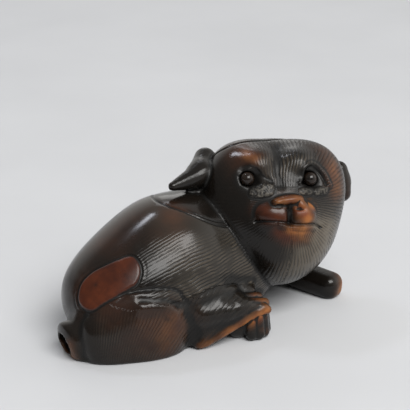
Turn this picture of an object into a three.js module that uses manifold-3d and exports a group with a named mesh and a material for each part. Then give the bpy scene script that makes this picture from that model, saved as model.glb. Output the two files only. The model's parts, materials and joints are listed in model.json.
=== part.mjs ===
// Netsuke: a puppy lying down, its head turned back over its right shoulder. It is carved from one
// piece of boxwood, with two dark horn beads let into the eye sockets. Millimetres, +Z up.
//
// The carving is a set of rounded masses. Each one is a field (a signed distance that is negative
// inside), and masses that run into each other are blended. An icosahedral skin is drawn out from the
// middle of each group of masses until it meets the field, and the skins are joined into one solid.
import * as THREE from "three";
import { mergeVertices } from "three/addons/utils/BufferGeometryUtils.js";
import Module from "manifold-3d";

const wasm = await Module();
wasm.setup();

// ---- driving dimensions ------------------------------------------------------------------------

const MIDDLE = new THREE.Vector3(-1.08, -1.04, 0); // centre of the footprint, in the carver's frame

const HEAD_CENTRE = new THREE.Vector3(9.2, -2.9, 13.2);
const HEAD_TURN = [-4, -22, -108]; // degrees: roll, pitch, and yaw from the line of the back

const EYE_RADIUS = 1.05;
const EYE_GAP = 0.3; // between a bead and its socket
const EYES = { right: [6.35, -5.1, 4.3], left: [6.75, 3.2, 4.3] }; // forward, left, up from the head centre

const CORD_HOLE_RADIUS = 1.5;
const CORD_HOLE_CENTRE = new THREE.Vector3(-21.5, -3.4, 1.9);
const CORD_HOLE_AXIS = new THREE.Vector3(-0.95, -0.05, -0.25).normalize();
const CORD_HOLE_DEPTH = 9.5;
const KNOT_HOLE_RADIUS = 2.2;
const KNOT_HOLE_DEPTH = 5.4;
const RIM_RADIUS = 2.05;
const RIM_THICKNESS = 0.65;

const TOE_RADIUS = 0.72;
const TOE_TIP_RADIUS = 0.65;
const CLAW_RADIUS = 0.5;

const GROOVE_RADIUS = 0.28;
const MOUTH = [[-4.6, -1.5], [-2.4, -1.75], [-0.9, -1.75], [0.1, -1.35], [1.2, -1.8], [4, -2]]; // side, up
const LIP_PARTING = [[0.1, 0.6], [0.1, -0.4], [0.1, -1.4]];

// ---- fields ------------------------------------------------------------------------------------

const vec = (x, y, z) => new THREE.Vector3(x, y, z);

function turnOf([x, y, z]) {
  const euler = new THREE.Euler(...[x, y, z].map(THREE.MathUtils.degToRad), "ZYX");
  return new THREE.Quaternion().setFromEuler(euler);
}

// An egg: its centre, its three half-axes and its turn.
function egg(centre, radii, turn = [0, 0, 0]) {
  const middle = vec(...centre);
  const back = turnOf(turn).invert();
  const half = vec(...radii);
  return (point) => {
    const scaled = point.clone().sub(middle).applyQuaternion(back).divide(half);
    const reach = scaled.length();
    return (reach * (reach - 1)) / Math.max(scaled.divide(half).length(), 1e-9);
  };
}

// A limb: a round bar from one point to another, with its own radius at each end.
function limb(from, to, startRadius, endRadius) {
  const start = vec(...from);
  const line = vec(...to).sub(start);
  return (point) => {
    const offset = point.clone().sub(start);
    const along = THREE.MathUtils.clamp(offset.dot(line) / line.lengthSq(), 0, 1);
    const radius = THREE.MathUtils.lerp(startRadius, endRadius, along);
    return offset.addScaledVector(line, -along).length() - radius;
  };
}

// A bar with rounded edges, from one point to another, of a given half width and half height.
function bar(from, to, halfWidth, halfHeight, round) {
  const start = vec(...from);
  const end = vec(...to);
  const middle = start.clone().lerp(end, 0.5);
  const line = end.clone().sub(start);
  const yaw = THREE.MathUtils.radToDeg(Math.atan2(line.y, line.x));
  const pitch = -THREE.MathUtils.radToDeg(Math.atan2(line.z, Math.hypot(line.x, line.y)));
  const back = turnOf([0, pitch, yaw]).invert();
  const half = vec(start.distanceTo(end) / 2, halfWidth, halfHeight).subScalar(round);
  return (point) => {
    const local = point.clone().sub(middle).applyQuaternion(back);
    const past = vec(Math.abs(local.x), Math.abs(local.y), Math.abs(local.z)).sub(half);
    const inside = Math.min(Math.max(past.x, past.y, past.z), 0);
    return past.max(vec(0, 0, 0)).length() + inside - round;
  };
}

// Two or more masses run together over a soft seam of the given width.
function blend(width, ...fields) {
  return (point) => fields.slice(1).reduce((near, field) => {
    const next = field(point);
    const share = THREE.MathUtils.clamp(0.5 + (0.5 * (near - next)) / width, 0, 1);
    return THREE.MathUtils.lerp(near, next, share) - width * share * (1 - share);
  }, fields[0](point));
}

// A mass with another hollowed out of it, over a soft lip.
function hollow(width, mass, ...tools) {
  const around = blend(width, (point) => -mass(point), ...tools);
  return (point) => -around(point);
}

// ---- the masses of the carving -----------------------------------------------------------------

function torsoField() {
  const rump = egg([-12.3, -1.2, 5.8], [8.6, 8.6, 7.5], [0, -8, 0]);
  const barrel = egg([-5.8, -0.4, 8.4], [9.9, 9.3, 8.9], [0, -20, 0]);
  const chest = egg([2.8, 1.4, 8.6], [9, 8.0, 8.6], [0, -10, 0]);
  const shoulder = egg([2.4, -3.4, 6.8], [5.4, 4.6, 5.2]);
  const tail = limb([-17.7, -3.2, 2.9], [-20.9, -3.37, 2.05], 3.2, 2.3);
  const trunk = blend(3.5, blend(3, blend(3.5, rump, barrel), chest), shoulder);
  return blend(1.2, trunk, tail);
}

// In the head's own frame: x forward, y to the puppy's left, z up.
function skullField() {
  const cranium = egg([-0.6, -0.1, 0.8], [8.3, 9.2, 8.2]);
  const crown = egg([-1.0, -0.2, 2.1], [7.6, 6.6, 7.7]);
  const leftTemple = egg([0.9, 4.2, 4.1], [5.6, 5.1, 5.5]);
  const rightTemple = egg([0.9, -4.6, 4.1], [5.6, 5.1, 5.5]);
  const throat = egg([-0.2, 0.1, -3.0], [8.2, 6.7, 6.6]);
  const cheek = egg([-0.8, -5.6, -0.6], [6.4, 5.2, 6.0]);
  const dome = blend(2.5, blend(2, cranium, crown), blend(2.5, leftTemple, rightTemple));
  return blend(2.5, blend(3.5, dome, throat), cheek);
}

function faceField() {
  const muzzle = egg([7.1, 0, -0.6], [1.7, 3.4, 1.9]);
  const rightBrow = egg([4.4, -3.3, 6.2], [2.6, 2.3, 2.1]);
  const leftBrow = egg([4.6, 1.9, 6.2], [2.6, 2.3, 2.1]);
  const rightLip = egg([7.9, -2.3, -0.2], [1.1, 1.9, 1.3]);
  const leftLip = egg([8.0, 1.9, -0.3], [1.1, 1.5, 1.3]);
  const chin = egg([7.3, 0.4, -2.9], [1.2, 2.2, 1.0]);
  const brows = blend(0.6, rightBrow, leftBrow);
  const face = blend(1.2, blend(1.4, skullField(), muzzle), brows);
  const sockets = Object.values(EYES).map(([x, y, z]) => egg([x + 1, y, z], [1.5, 1.6, 1.5]));
  return hollow(0.5, blend(0.5, face, rightLip, leftLip, chin), ...sockets);
}

function hindLegField() {
  const thigh = egg([-14.4, -5.6, 2.6], [7.6, 4.6, 6.2], [0, 4, -4]);
  const knee = egg([-11.2, -6.6, 3.2], [5.3, 4.4, 6.0]);
  const hock = limb([-9.0, -8.2, 6.6], [-4.0, -8.6, 5.8], 1.8, 1.8);
  const shin = limb([-5.8, -8.1, 4.1], [-1.4, -9.2, 5.0], 3.1, 2.0);
  const soleEdge = limb([-6.9, -10.5, 0.5], [2.0, -11.6, 4.3], 0.6, 0.55);
  return blend(1.2, blend(2, thigh, knee), blend(2.4, shin, hock, soleEdge));
}

function farHindLegField() {
  const thigh = egg([-10.6, 5.2, 3.2], [6.8, 4.3, 6.0], [0, 6, 10]);
  const shin = limb([-3, 7.2, 2.4], [2.2, 8.4, 1.9], 2.6, 1.5);
  const soleEdge = limb([-4, 8.6, 0.8], [2.6, 9.4, 0.8], 0.8, 0.7);
  return blend(1.2, thigh, blend(1.5, shin, soleEdge));
}

function farForelegField() {
  const shoulder = egg([7.6, 6.0, 6.2], [4.6, 3.6, 5.4], [0, 12, -25]);
  const elbow = limb([10, 7.6, 2.8], [14, 3.6, 2.2], 2.7, 2.0);
  return blend(1.2, shoulder, elbow);
}

// ---- solids ------------------------------------------------------------------------------------

function solidFrom(geometry) {
  const bare = geometry.clone();
  bare.deleteAttribute("normal");
  bare.deleteAttribute("uv");
  const merged = mergeVertices(bare, 1e-5);
  const vertProperties = new Float32Array(merged.attributes.position.array);
  const triVerts = new Uint32Array(merged.index.array);
  return new wasm.Manifold(new wasm.Mesh({ numProp: 3, vertProperties, triVerts }));
}

function geometryFrom(solid) {
  const { vertProperties, triVerts } = solid.getMesh();
  const geometry = new THREE.BufferGeometry();
  geometry.setAttribute("position", new THREE.BufferAttribute(new Float32Array(vertProperties), 3));
  geometry.setIndex(new THREE.BufferAttribute(new Uint32Array(triVerts), 1));
  geometry.computeVertexNormals();
  return geometry;
}

// How far a ray from inside the mass runs before it comes out.
function reachOf(field, from, ray) {
  const step = 0.4;
  const at = (distance) => field(from.clone().addScaledVector(ray, distance));
  let far = step;
  while (at(far) < 0) far += step;
  let near = far - step;
  for (let i = 0; i < 14; i += 1) {
    const middle = (near + far) / 2;
    if (at(middle) < 0) near = middle;
    else far = middle;
  }
  return (near + far) / 2;
}

// An icosahedral skin drawn out from the middle of a mass to its surface. The spread gives the
// mass's rough length, width and height, so that long masses get their share of facets.
function skin(field, middle, spread, detail) {
  const ball = new THREE.IcosahedronGeometry(1, detail);
  const from = vec(...middle);
  const shape = vec(...spread);
  const place = ball.attributes.position;
  for (let i = 0; i < place.count; i += 1) {
    const ray = vec(0, 0, 0).fromBufferAttribute(place, i).multiply(shape).normalize();
    const spot = ray.clone().multiplyScalar(reachOf(field, from, ray)).add(from);
    place.setXYZ(i, spot.x, spot.y, spot.z);
  }
  return solidFrom(ball);
}

function toHeadPlace(geometry) {
  geometry.applyQuaternion(turnOf(HEAD_TURN));
  geometry.translate(HEAD_CENTRE.x, HEAD_CENTRE.y, HEAD_CENTRE.z);
  return geometry;
}

function ball(centre, radius, detail) {
  const geometry = new THREE.IcosahedronGeometry(radius, detail);
  geometry.translate(...centre);
  return geometry;
}

function rod(centre, axis, radius, length, sides) {
  const geometry = new THREE.CylinderGeometry(radius, radius, length, sides);
  geometry.applyQuaternion(new THREE.Quaternion().setFromUnitVectors(vec(0, 1, 0), axis));
  geometry.translate(centre.x, centre.y, centre.z);
  return geometry;
}

// A round groove that follows a line on the face, cut to half its own depth.
function faceGroove(points) {
  const field = faceField();
  const onFace = points.map(([side, up]) => {
    const from = vec(0, side, up);
    const forward = vec(1, 0, 0);
    return from.addScaledVector(forward, reachOf(field, from, forward));
  });
  const path = new THREE.CatmullRomCurve3(onFace);
  const circle = new THREE.Shape().absarc(0, 0, GROOVE_RADIUS, 0, Math.PI * 2);
  const options = { steps: 10, curveSegments: 3, extrudePath: path, bevelEnabled: false };
  return solidFrom(toHeadPlace(new THREE.ExtrudeGeometry(circle, options)));
}

// ---- sub-parts of the carving ------------------------------------------------------------------

function head() {
  const shape = geometryFrom(skin(faceField(), [1.6, 0, 0.4], [1, 1, 1], 9));
  const nose = new THREE.IcosahedronGeometry(1, 2);
  nose.scale(1.0, 1.9, 0.8);
  nose.translate(8.55, -0.4, 1.3);
  let solid = solidFrom(toHeadPlace(shape)).add(solidFrom(toHeadPlace(nose)));
  for (const place of Object.values(EYES)) {
    solid = solid.subtract(solidFrom(toHeadPlace(ball(place, EYE_RADIUS + EYE_GAP, 2))));
  }
  const mouth = faceGroove(MOUTH);
  const lipParting = faceGroove(LIP_PARTING);
  return solid.subtract(mouth).subtract(lipParting);
}

function rightEar() {
  const fold = limb([2.2, 3.6, 20.2], [0, 1.4, 19.2], 1.5, 1.5);
  const flap = limb([0.2, 1.0, 19.0], [-5.0, -0.4, 18.8], 1.9, 0.6);
  return skin(blend(1, fold, flap), [-0.2, 1.0, 19.0], [3, 1.6, 1.2], 4);
}

// In the head's own frame, like the face.
function leftEar() {
  const fold = limb([-0.5, 9.3, 5.9], [-0.3, 9.6, 2.7], 1.15, 1.25);
  const flap = limb([-1.0, 9.4, 4.3], [-5.0, 8.4, 3.2], 1.5, 0.7);
  return solidFrom(toHeadPlace(geometryFrom(skin(blend(1, fold, flap), [-1, 9.3, 4.3], [2, 1.2, 1.6], 4))));
}

function toe(from, to, startRadius, endRadius, detail) {
  const middle = from.map((value, axis) => (value + to[axis]) / 2);
  const spread = from.map((value, axis) => Math.abs(to[axis] - value) + startRadius);
  return skin(limb(from, to, startRadius, endRadius), middle, spread, detail);
}

// The right hind foot's toes lie side by side and run back along the foot.
function hindToes() {
  const tips = [[2.7, -11.0, 4.65], [2.3, -10.0, 5.2], [1.6, -9.1, 5.8]];
  const inner = tips.map(([x, y, z]) => (
    toe([x - 2.8, y + 0.4, z + 0.3], [x, y, z], TOE_RADIUS, TOE_TIP_RADIUS, 2)
  ));
  return [...inner, toe([-2.6, -10.3, 4.6], [2.7, -11.8, 4.0], 1.0, CLAW_RADIUS, 2)];
}

function farHindToes() {
  const rows = [0, 1, 2, 3];
  return rows.map((row) => toe([1.6, 9.4 - row * 1.1, 1.0], [4.2, 9.7 - row * 1.1, 0.75], 0.75, 0.6, 1));
}

// The right forepaw hangs under the hind foot, its toes round its front, pointing down.
function forepaw() {
  const [x, y, z] = [1.4, -9.8, 2.2];
  const palm = skin(egg([x, y, z], [2.1, 2.0, 2.3]), [x, y, z], [1, 1, 1], 3);
  const heel = skin(egg([-0.4, -9.3, 1.7], [1.8, 1.7, 1.9]), [-0.4, -9.3, 1.7], [1, 1, 1], 2);
  const forearm = skin(limb([4.0, -4.0, 5.5], [1.6, -9.0, 2.4], 2.2, 1.7), [2.8, -6.5, 4], [1, 2, 1.5], 3);
  const toes = [-118, -88, -58, -28].map((degrees) => {
    const turn = THREE.MathUtils.degToRad(degrees);
    const [forward, side] = [Math.cos(turn), Math.sin(turn)];
    const knuckle = [x + 1.55 * forward, y + 1.55 * side, z + 1.0];
    const tip = [x + 1.85 * forward, y + 1.85 * side, z - 1.4];
    return toe(knuckle, tip, 0.85, 0.8, 1);
  });
  return [palm, heel, forearm, ...toes];
}

// The left forepaw is a square-cut bar that lies across in front of the chest.
function farForepaw() {
  return skin(bar([13.0, 4.6, 2.3], [17.9, -6.4, 1.3], 1.9, 1.9, 0.8), [15.4, -0.9, 1.8], [1, 2.2, 1], 4);
}

function cordHoleRim() {
  const ring = new THREE.TorusGeometry(RIM_RADIUS, RIM_THICKNESS, 8, 20);
  ring.applyQuaternion(new THREE.Quaternion().setFromUnitVectors(vec(0, 0, 1), CORD_HOLE_AXIS));
  ring.translate(CORD_HOLE_CENTRE.x, CORD_HOLE_CENTRE.y, CORD_HOLE_CENTRE.z);
  return solidFrom(ring);
}

// The cord goes in at the rump and comes out under the belly, so two bores meet inside the body.
function cordChannel() {
  const inner = CORD_HOLE_CENTRE.clone().addScaledVector(CORD_HOLE_AXIS, -CORD_HOLE_DEPTH);
  const outer = CORD_HOLE_CENTRE.clone().addScaledVector(CORD_HOLE_AXIS, 3);
  const length = inner.distanceTo(outer);
  const bore = rod(inner.clone().lerp(outer, 0.5), CORD_HOLE_AXIS, CORD_HOLE_RADIUS, length, 20);
  const down = vec(inner.x + 1, inner.y, KNOT_HOLE_DEPTH / 2 - 0.5);
  const well = rod(down, vec(0, 0, 1), KNOT_HOLE_RADIUS, KNOT_HOLE_DEPTH + 1, 24);
  return solidFrom(bore).add(solidFrom(well));
}

function ground() {
  const size = 100;
  const block = new THREE.BoxGeometry(size, size, size);
  block.translate(0, 0, -size / 2);
  return solidFrom(block);
}

function carving() {
  const masses = [
    skin(torsoField(), [-7, -0.6, 6.6], [18, 10, 9], 9),
    skin(hindLegField(), [-9, -7, 3.2], [12, 4.5, 5], 7),
    skin(farHindLegField(), [-8, 5.6, 3], [9, 4, 5], 5),
    skin(farForelegField(), [9.5, 5.8, 4.2], [1, 1, 1], 5),
    farForepaw(),
    ...forepaw(),
    ...hindToes(),
    ...farHindToes(),
    cordHoleRim(),
    head(),
    rightEar(),
    leftEar(),
  ];
  const whole = masses.reduce((joined, mass) => joined.add(mass));
  return whole.subtract(cordChannel()).subtract(ground());
}

// ---- materials and the finished object ---------------------------------------------------------

const stainedBoxwood = new THREE.MeshStandardMaterial({ color: 0x3a241c, roughness: 0.3, metalness: 0 });
const darkHorn = new THREE.MeshStandardMaterial({ color: 0x14100e, roughness: 0.12, metalness: 0 });

function named(name, geometry, material) {
  const mesh = new THREE.Mesh(geometry, material);
  mesh.name = name;
  return mesh;
}

const netsuke = new THREE.Group();
netsuke.add(named("puppy", geometryFrom(carving()), stainedBoxwood));
for (const [side, place] of Object.entries(EYES)) {
  netsuke.add(named(`${side}_eye`, toHeadPlace(ball(place, EYE_RADIUS, 2)), darkHorn));
}
netsuke.position.copy(MIDDLE).negate();

export default netsuke;
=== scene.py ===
import json
import math

import bpy
import numpy as np
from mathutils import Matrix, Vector

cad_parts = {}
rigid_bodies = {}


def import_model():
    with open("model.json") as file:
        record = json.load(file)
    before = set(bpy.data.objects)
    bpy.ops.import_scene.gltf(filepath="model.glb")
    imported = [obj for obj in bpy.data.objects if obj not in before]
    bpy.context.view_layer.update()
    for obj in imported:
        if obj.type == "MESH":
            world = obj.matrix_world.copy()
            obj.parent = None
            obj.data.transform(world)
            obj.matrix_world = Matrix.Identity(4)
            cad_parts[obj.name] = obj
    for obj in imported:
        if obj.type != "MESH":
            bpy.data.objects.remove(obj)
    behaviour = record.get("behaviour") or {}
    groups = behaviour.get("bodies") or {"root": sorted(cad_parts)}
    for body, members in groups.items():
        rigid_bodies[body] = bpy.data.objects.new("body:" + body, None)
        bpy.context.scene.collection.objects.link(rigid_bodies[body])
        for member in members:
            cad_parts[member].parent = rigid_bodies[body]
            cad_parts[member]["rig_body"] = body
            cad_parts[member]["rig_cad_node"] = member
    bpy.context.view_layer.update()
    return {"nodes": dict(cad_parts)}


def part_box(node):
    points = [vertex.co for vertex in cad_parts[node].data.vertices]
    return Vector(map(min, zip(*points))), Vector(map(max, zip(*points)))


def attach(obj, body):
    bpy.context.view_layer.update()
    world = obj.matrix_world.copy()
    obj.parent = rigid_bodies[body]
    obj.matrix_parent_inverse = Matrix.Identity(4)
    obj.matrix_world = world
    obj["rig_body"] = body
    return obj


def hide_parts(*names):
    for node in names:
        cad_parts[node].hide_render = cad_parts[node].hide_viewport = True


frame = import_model()

# ---- sizes -------------------------------------------------------------------------------------
# The carving is measured in millimetres in the carver's own frame, where the shared frame's origin
# stands at MIDDLE. Places on the head are forward, left and up from HEAD_CENTRE.

MM = 0.001
MIDDLE = np.array([-1.08, -1.04, 0.0])

HEAD_CENTRE = np.array([9.2, -2.9, 13.2])
HEAD_TURN = (-4, -22, -108)

RIGHT_EYE = np.array([6.35, -5.1, 4.3])
LEFT_EYE = np.array([6.75, 3.2, 4.3])
EYE_RADIUS = 0.9
SOCKET_RADIUS = 1.0
# The hollow round each eye: how far it lies to the eye's left, half its width and its softness.
EYE_HOLLOWS = [(RIGHT_EYE, 0.65, 0.9, 0.8), (LEFT_EYE, 0.2, 1.25, 0.9)]

CORD_HOLE_CENTRE = np.array([-21.5, -3.4, 1.9])
CORD_HOLE_AXIS = np.array([-0.95, -0.05, -0.25]) / np.linalg.norm([-0.95, -0.05, -0.25])
CORD_HOLE_RADIUS = 1.5
CORD_HOLE_DEPTH = 9.5
KNOT_HOLE_RADIUS = 2.2
KNOT_HOLE_DEPTH = 5.4
RIM_RADIUS = 2.05
RIM_THICKNESS = 0.65

HAIR_PITCH = 0.4  # from one engraved stroke to the next
GROOVE_DEPTH = 0.05 * MM  # of the engraved strokes
GRAIN_DEPTH = 0.01 * MM  # of the horn's grain

BLOCK_SIZE = 0.27 * MM  # spacing of the carved surface's points
WELD = 0.0001 * MM  # points closer than this are one
LONGEST_STEP = 0.3  # how far a point may move at a time towards the surface
LEG_STEPS = 4  # points from one to the next of a leg line's places
FAR = 9.0  # stands for any distance too great to matter
FULL_HOLLOW = 0.11  # how sharply the surface bends where a hollow counts as one


# ---- masses ------------------------------------------------------------------------------------
# A mass is a function that takes points and gives their distance from its surface, negative inside.

def turn_of(*degrees):
    """The matrix that turns a mass's own axes about X, then Y, then Z."""
    (sx, cx), (sy, cy), (sz, cz) = ((math.sin(a), math.cos(a)) for a in map(math.radians, degrees))
    about_x = np.array([[1, 0, 0], [0, cx, -sx], [0, sx, cx]])
    about_y = np.array([[cy, 0, sy], [0, 1, 0], [-sy, 0, cy]])
    about_z = np.array([[cz, -sz, 0], [sz, cz, 0], [0, 0, 1]])
    return about_z @ about_y @ about_x


HEAD_MATRIX = turn_of(*HEAD_TURN)


def to_head(points):
    return (points - HEAD_CENTRE) @ HEAD_MATRIX


def egg(centre, radii, turn=(0, 0, 0)):
    centre, radii, matrix = np.array(centre, float), np.array(radii, float), turn_of(*turn)

    def mass(points):
        scaled = (points - centre) @ matrix / radii
        reach = np.linalg.norm(scaled, axis=1)
        return reach * (reach - 1) / np.maximum(np.linalg.norm(scaled / radii, axis=1), 1e-9)
    return mass


def limb(start, end, start_radius, end_radius):
    start, end = np.array(start, float), np.array(end, float)
    line = end - start

    def mass(points):
        along = np.clip((points - start) @ line / (line @ line), 0, 1)
        offset = points - start - along[:, None] * line
        radius = start_radius + (end_radius - start_radius) * along
        return np.linalg.norm(offset, axis=1) - radius
    return mass


def bar(start, end, half_width, half_height, rounding):
    start, end = np.array(start, float), np.array(end, float)
    along, side, rise = end - start
    yaw = math.degrees(math.atan2(side, along))
    pitch = -math.degrees(math.atan2(rise, math.hypot(along, side)))
    half = np.array([np.linalg.norm(end - start) / 2, half_width, half_height]) - rounding
    matrix = turn_of(0, pitch, yaw)

    def mass(points):
        past = np.abs((points - (start + end) / 2) @ matrix) - half
        outside = np.linalg.norm(np.maximum(past, 0), axis=1)
        return outside + np.minimum(past.max(axis=1), 0) - rounding
    return mass


def ring(centre, axis, radius, thickness):
    def mass(points):
        offset = points - centre
        height = offset @ axis
        spread = np.sqrt(np.maximum((offset * offset).sum(axis=1) - height * height, 0))
        return np.hypot(spread - radius, height) - thickness
    return mass


def soft_union(near, far, width):
    share = np.clip(0.5 + 0.5 * (near - far) / width, 0, 1)
    return near + (far - near) * share - width * share * (1 - share)


def blend(width, *masses):
    def mass(points):
        joined = masses[0](points)
        for other in masses[1:]:
            joined = soft_union(joined, other(points), width)
        return joined
    return mass


def cut(solid, tool, width):
    return -soft_union(-solid, tool, width)


def torso_mass():
    rump = egg([-12.3, -1.2, 5.8], [8.6, 8.6, 7.5], (0, -8, 0))
    barrel = egg([-5.8, -0.4, 8.4], [9.9, 9.3, 8.9], (0, -20, 0))
    chest = egg([2.8, 1.4, 8.6], [9, 8.0, 8.6], (0, -10, 0))
    shoulder = egg([2.4, -3.4, 6.8], [5.4, 4.6, 5.2])
    tail = limb([-17.7, -3.2, 2.9], [-20.9, -3.37, 2.05], 3.2, 2.3)
    rim = ring(CORD_HOLE_CENTRE, CORD_HOLE_AXIS, RIM_RADIUS, RIM_THICKNESS)
    trunk = blend(3.5, blend(3, blend(3.5, rump, barrel), chest), shoulder)
    return blend(0.5, blend(1.2, trunk, tail), rim)


def skull_mass():
    cranium = egg([-0.6, -0.1, 0.8], [8.3, 9.2, 8.2])
    crown = egg([-1.0, -0.2, 2.1], [7.6, 6.6, 7.7])
    left_temple = egg([0.9, 4.2, 4.1], [5.6, 5.1, 5.5])
    right_temple = egg([0.9, -4.6, 4.1], [5.6, 5.1, 5.5])
    throat = egg([-0.2, 0.1, -3.0], [8.2, 6.7, 6.6])
    cheek = egg([-0.8, -5.6, -0.6], [6.4, 5.2, 6.0])
    dome = blend(2.5, blend(2, cranium, crown), blend(2.5, left_temple, right_temple))
    return blend(2.5, blend(3.5, dome, throat), cheek)


def nose_mass():
    bridge = egg([8.15, -0.2, 1.45], [1.15, 2.15, 0.72], (7, 0, 0))
    right_wing = egg([8.45, -1.7, 1.15], [0.7, 0.65, 0.42], (12, 0, 0))
    left_wing = egg([8.5, 1.6, 0.85], [0.78, 0.6, 0.6])
    return blend(0.3, bridge, right_wing, left_wing)


def face_mass():
    muzzle = egg([7.1, 0, -0.6], [1.7, 3.4, 1.9])
    right_brow = egg([4.4, -3.3, 6.2], [2.6, 2.3, 2.1])
    left_brow = egg([4.6, 1.9, 6.2], [2.6, 2.3, 2.1])
    right_lip = egg([7.15, -2.2, -0.2], [1.5, 1.9, 1.4])
    left_lip = egg([8.0, 1.9, -0.35], [1.1, 1.5, 1.35])
    chin = egg([7.2, 0.4, -2.75], [1.3, 2.4, 1.25])
    face = blend(1.2, blend(1.4, skull_mass(), muzzle), blend(0.6, right_brow, left_brow))
    lips = blend(0.65, face, right_lip, left_lip, chin)
    nose = nose_mass()

    def mass(points):
        local = to_head(points)
        shape = soft_union(lips(local), nose(local), 0.25)
        for eye, shift, width, softness in EYE_HOLLOWS:
            hollow = egg(eye + [1.1, shift, 0], [1.4, width, 1.15])
            shape = cut(shape, hollow(local), softness)
            shape = cut(shape, np.linalg.norm(local - eye, axis=1) - SOCKET_RADIUS, 0.12)
        return shape
    return mass


def hind_leg_mass():
    thigh = egg([-14.4, -5.6, 2.6], [7.6, 4.6, 6.2], (0, 4, -4))
    knee = egg([-11.2, -6.6, 3.2], [5.3, 4.4, 6.0])
    hock = limb([-9.0, -8.2, 6.6], [-4.0, -8.6, 5.8], 1.8, 1.8)
    shin = limb([-5.8, -8.1, 4.1], [-1.4, -9.2, 5.0], 3.1, 2.0)
    sole_edge = limb([-6.9, -10.5, 0.5], [2.0, -11.6, 4.3], 0.6, 0.55)
    haunch = blend(2, thigh, knee)
    leg = blend(1.2, haunch, blend(2.4, shin, hock, sole_edge))
    tips = ([2.7, -11.0, 4.65], [2.3, -10.0, 5.2], [1.6, -9.1, 5.8])
    toes = [limb([x - 2.8, y + 0.4, z + 0.3], [x, y, z], 0.72, 0.65) for x, y, z in tips]
    outer_toe = limb([-2.6, -10.3, 4.6], [2.7, -11.8, 4.0], 1.0, 0.5)
    return blend(0.22, blend(0.9, leg, outer_toe), *toes)


def far_hind_leg_mass():
    thigh = egg([-10.6, 5.2, 3.2], [6.8, 4.3, 6.0], (0, 6, 10))
    shin = limb([-3, 7.2, 2.4], [2.2, 8.4, 1.9], 2.6, 1.5)
    sole_edge = limb([-4, 8.6, 0.8], [2.6, 9.4, 0.8], 0.8, 0.7)
    leg = blend(1.2, thigh, blend(1.5, shin, sole_edge))
    toes = [limb([1.6, side, 1.0], [4.2, side + 0.3, 0.75], 0.75, 0.6)
            for side in (9.4, 8.3, 7.2, 6.1)]
    return blend(0.22, leg, *toes)


def forepaw_mass():
    x, y, z = 1.4, -9.8, 2.2
    palm = egg([x, y, z], [2.1, 2.0, 2.3])
    heel = egg([-0.4, -9.3, 1.7], [1.8, 1.7, 1.9])
    forearm = limb([4.0, -4.0, 5.5], [1.6, -9.0, 2.4], 2.2, 1.7)
    toes = []
    for degrees in (-118, -88, -58, -28):
        forward, side = math.cos(math.radians(degrees)), math.sin(math.radians(degrees))
        knuckle = [x + 1.55 * forward, y + 1.55 * side, z + 1.0]
        tip = [x + 1.85 * forward, y + 1.85 * side, z - 1.4]
        toes.append(limb(knuckle, tip, 0.85, 0.8))
    return blend(0.2, blend(0.8, palm, forearm, heel), *toes)


def far_foreleg_mass():
    shoulder = egg([7.6, 6.0, 6.2], [4.6, 3.6, 5.4], (0, 12, -25))
    elbow = limb([10, 7.6, 2.8], [14, 3.6, 2.2], 2.7, 2.0)
    paw = bar([13.0, 4.6, 2.3], [17.9, -6.4, 1.3], 1.9, 1.9, 1.55)
    return blend(0.5, blend(1.2, shoulder, elbow), paw)


def right_ear_mass():
    fold = limb([2.2, 3.6, 20.2], [0, 1.4, 19.2], 1.5, 1.5)
    flap = limb([0.2, 1.0, 19.0], [-5.0, -0.4, 18.8], 1.9, 0.6)
    return blend(1, fold, flap)


def left_ear_mass():
    fold = limb([-0.5, 9.3, 5.9], [-0.3, 9.6, 2.7], 1.15, 1.25)
    flap = limb([-1.0, 9.4, 4.3], [-5.0, 8.4, 3.2], 1.5, 0.7)
    ear = blend(1, fold, flap)
    return lambda points: ear(to_head(points))


def channel_mass():
    """The cord hole, and the knot hole that meets it from below."""
    inner = CORD_HOLE_CENTRE - CORD_HOLE_DEPTH * CORD_HOLE_AXIS
    outer = CORD_HOLE_CENTRE + 4 * CORD_HOLE_AXIS
    bore = limb(inner, outer, CORD_HOLE_RADIUS, CORD_HOLE_RADIUS)
    x, y = inner[0] + 1, inner[1]
    top = KNOT_HOLE_DEPTH - KNOT_HOLE_RADIUS
    well = limb([x, y, -3], [x, y, top], KNOT_HOLE_RADIUS, KNOT_HOLE_RADIUS)
    return blend(0.3, bore, well)


MASSES = {
    "torso": torso_mass(),
    "head": face_mass(),
    "hind_leg": hind_leg_mass(),
    "far_hind_leg": far_hind_leg_mass(),
    "forepaw": forepaw_mass(),
    "far_foreleg": far_foreleg_mass(),
    "right_ear": right_ear_mass(),
    "left_ear": left_ear_mass(),
}
# How widely each mass blends into the ones before it.
SEAMS = {"head": 0.25, "hind_leg": 1.6, "far_hind_leg": 0.6, "forepaw": 0.25,
         "far_foreleg": 0.5, "right_ear": 0.35, "left_ear": 0.3}
CHANNEL = channel_mass()


def carving(points):
    """The whole carving as one mass, with the channel cut and the underside flat."""
    whole = MASSES["torso"](points)
    for name, seam in SEAMS.items():
        whole = soft_union(whole, MASSES[name](points), seam)
    whole = cut(whole, CHANNEL(points), 0.25)
    return cut(whole, points[:, 2], 0.2)


def slope_of(field, points, step=0.02):
    """The direction in which a field grows, from four samples round each point."""
    corners = np.array([[1, -1, -1], [-1, -1, 1], [-1, 1, -1], [1, 1, 1]], float)
    return sum(field(points + step * corner)[:, None] * corner for corner in corners) / (4 * step)


def unit(vectors):
    return vectors / np.maximum(np.linalg.norm(vectors, axis=1, keepdims=True), 1e-9)


# ---- lines cut and raised on the surface -------------------------------------------------------

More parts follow.
